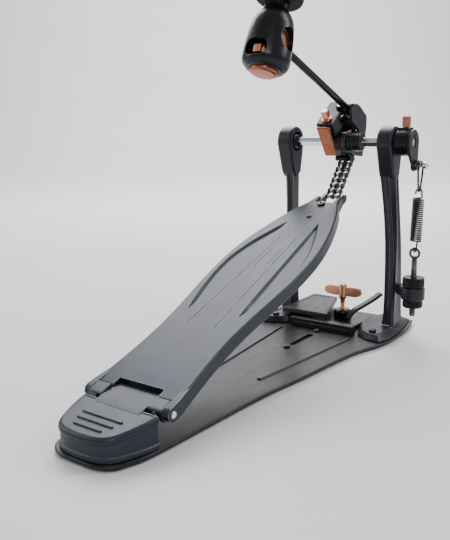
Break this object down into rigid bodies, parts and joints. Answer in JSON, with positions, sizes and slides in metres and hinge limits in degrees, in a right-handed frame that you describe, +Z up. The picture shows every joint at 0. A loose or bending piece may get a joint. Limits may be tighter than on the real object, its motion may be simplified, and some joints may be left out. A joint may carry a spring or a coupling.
{
  "type": "bass drum pedal",
  "caption": "Chain-drive bass drum pedal: footboard hinged at the heel, twin posts, hex axle with cam, felt beater on a rod, side spring and hoop clamp.",
  "frame": {"origin": "on the floor, on the underside of the rubber sheet, directly below the middle of the drive axle", "axes": "+X towards the spring side, +Y from the heel towards the drum, +Z up"},
  "size_m": [0.1591, 0.3925, 0.3149],
  "materials": {
    "black_coat": "satin",
    "black_anodised": "satin",
    "copper": "satin",
    "chrome": "polished",
    "black_nickel": "polished",
    "rubber": "matte",
    "felt": "matte"
  },
  "bodies": {
    "base": {"base_plate": "black_coat", "base_rubber": "rubber", "base_screw_front": "black_nickel", "base_screw_rear": "black_nickel", "heel_plate": "black_coat", "hinge_pin": "black_nickel", "foot_left": "black_coat", "foot_right": "black_coat", "foot_screw_left": "black_nickel", "foot_screw_right": "black_nickel", "post_left": "black_coat", "post_right": "black_coat", "bearing_left": "black_anodised", "bearing_right": "black_anodised", "bridge_plate": "black_coat", "clamp_boss": "black_anodised", "clamp_arm": "black_coat", "spring_bracket": "black_coat", "eye_bolt": "black_nickel"},
    "axle": {"hex_shaft": "chrome", "cam_rim": "black_anodised", "cam_cheek_left": "black_coat", "cam_cheek_right": "black_coat", "cam_collar": "black_anodised", "cam_screw": "copper", "clamp_block": "black_coat", "clamp_bolt": "copper", "stopper_plate": "copper", "rod_socket": "black_anodised", "rocker_hub": "black_anodised", "rocker_arm": "black_coat", "rocker_bolt": "copper", "rocker_pin": "chrome", "chain_anchor_link": "black_nickel"},
    "chain_1": {"chain_wrap_1": "black_nickel"},
    "chain_2": {"chain_wrap_2": "black_nickel"},
    "chain_3": {"chain_wrap_3": "black_nickel"},
    "chain_4": {"chain_run": "black_nickel"},
    "board": {"footboard": "black_coat", "hinge_block_left": "black_coat", "hinge_block_right": "black_coat", "hinge_screw_left": "black_nickel", "hinge_screw_right": "black_nickel", "toe_clamp": "black_anodised", "toe_screw_front": "black_nickel", "toe_screw_rear": "black_nickel"},
    "spring_lower": {"spring": "black_nickel"},
    "spring_upper": {"spring_link": "black_nickel"},
    "rod": {"beater_rod": "black_nickel"},
    "head": {"beater_body": "black_anodised", "beater_barrel": "copper", "beater_screw": "copper", "beater_back_plate": "copper", "beater_felt": "felt"},
    "jaw": {"clamp_jaw": "black_coat", "clamp_pad": "rubber"},
    "wing": {"wing_bolt": "copper"},
    "upper_nut": {"tension_nut": "black_anodised"},
    "lower_nut": {"lock_nut": "black_anodised"}
  },
  "joints": [
    {"name": "axle_turn", "type": "hinge", "parent": "base", "child": "axle", "pos_m": [0, 0, 0.1815], "axis": [-1, 0, 0], "range_deg": [0, 68], "stiffness_Nm_per_rad": 0.25, "springref_deg": -34.38},
    {"name": "board_tilt", "type": "hinge", "parent": "base", "child": "board", "pos_m": [0, -0.293, 0.024], "axis": [-1, 0, 0], "range_deg": [0, 7.86]},
    {"name": "chain_1_bend", "type": "hinge", "parent": "axle", "child": "chain_1", "pos_m": [0, 0.01902, 0.19981], "axis": [1, 0, 0], "range_deg": [0, 23.63]},
    {"name": "chain_2_bend", "type": "hinge", "parent": "chain_1", "child": "chain_2", "pos_m": [0, 0.02537, 0.18881], "axis": [1, 0, 0], "range_deg": [0, 27.89]},
    {"name": "chain_3_bend", "type": "hinge", "parent": "chain_2", "child": "chain_3", "pos_m": [0, 0.02584, 0.17612], "axis": [1, 0, 0], "range_deg": [0, 27.89]},
    {"name": "chain_4_bend", "type": "hinge", "parent": "chain_3", "child": "chain_4", "pos_m": [0, 0.02034, 0.16467], "axis": [1, 0, 0], "range_deg": [0, 13.97]},
    {"name": "spring_swing", "type": "hinge", "parent": "base", "child": "spring_lower", "pos_m": [0.0795, -0.0005, 0.0855], "axis": [1, 0, 0], "range_deg": [0, 14.79]},
    {"name": "spring_stretch", "type": "slide", "parent": "spring_lower", "child": "spring_upper", "axis": [0, 0.0656, 0.9978], "range_m": [0, 0.00976], "deforming": ["spring"]},
    {"name": "rod_height", "type": "slide", "parent": "axle", "child": "rod", "axis": [0, -0.9304, 0.3665], "range_m": [-0.01, 0.008]},
    {"name": "head_spin", "type": "hinge", "parent": "rod", "child": "head", "pos_m": [0, -0.11922, 0.26629], "axis": [0, -0.9304, 0.3665], "continuous": true},
    {"name": "jaw_tilt", "type": "hinge", "parent": "base", "child": "jaw", "pos_m": [-0.022, -0.014, 0.016], "axis": [-1, 0, 0], "range_deg": [-2, 3]},
    {"name": "wing_bolt_turn", "type": "hinge", "parent": "base", "child": "wing", "pos_m": [0.005, 0.008, 0.03], "axis": [0, 0, 1], "continuous": true},
    {"name": "tension_nut_turn", "type": "hinge", "parent": "base", "child": "upper_nut", "pos_m": [0.0795, -0.0005, 0.056], "axis": [0, 0, 1], "continuous": true},
    {"name": "lock_nut_turn", "type": "hinge", "parent": "base", "child": "lower_nut", "pos_m": [0.0795, -0.0005, 0.036], "axis": [0, 0, 1], "continuous": true}
  ],
  "couplings": [
    {"joint": "board_tilt", "follows": "axle_turn", "ratio": 0.11489},
    {"joint": "chain_1_bend", "follows": "axle_turn", "ratio": 0.34678},
    {"joint": "chain_2_bend", "follows": "axle_turn", "ratio": 0.40935},
    {"joint": "chain_3_bend", "follows": "axle_turn", "ratio": 0.40935},
    {"joint": "chain_4_bend", "follows": "axle_turn", "ratio": 0.20467},
    {"joint": "spring_swing", "follows": "axle_turn", "ratio": 0.21678},
    {"joint": "spring_stretch", "follows": "axle_turn", "m_per_rad": 0.008209}
  ]
}
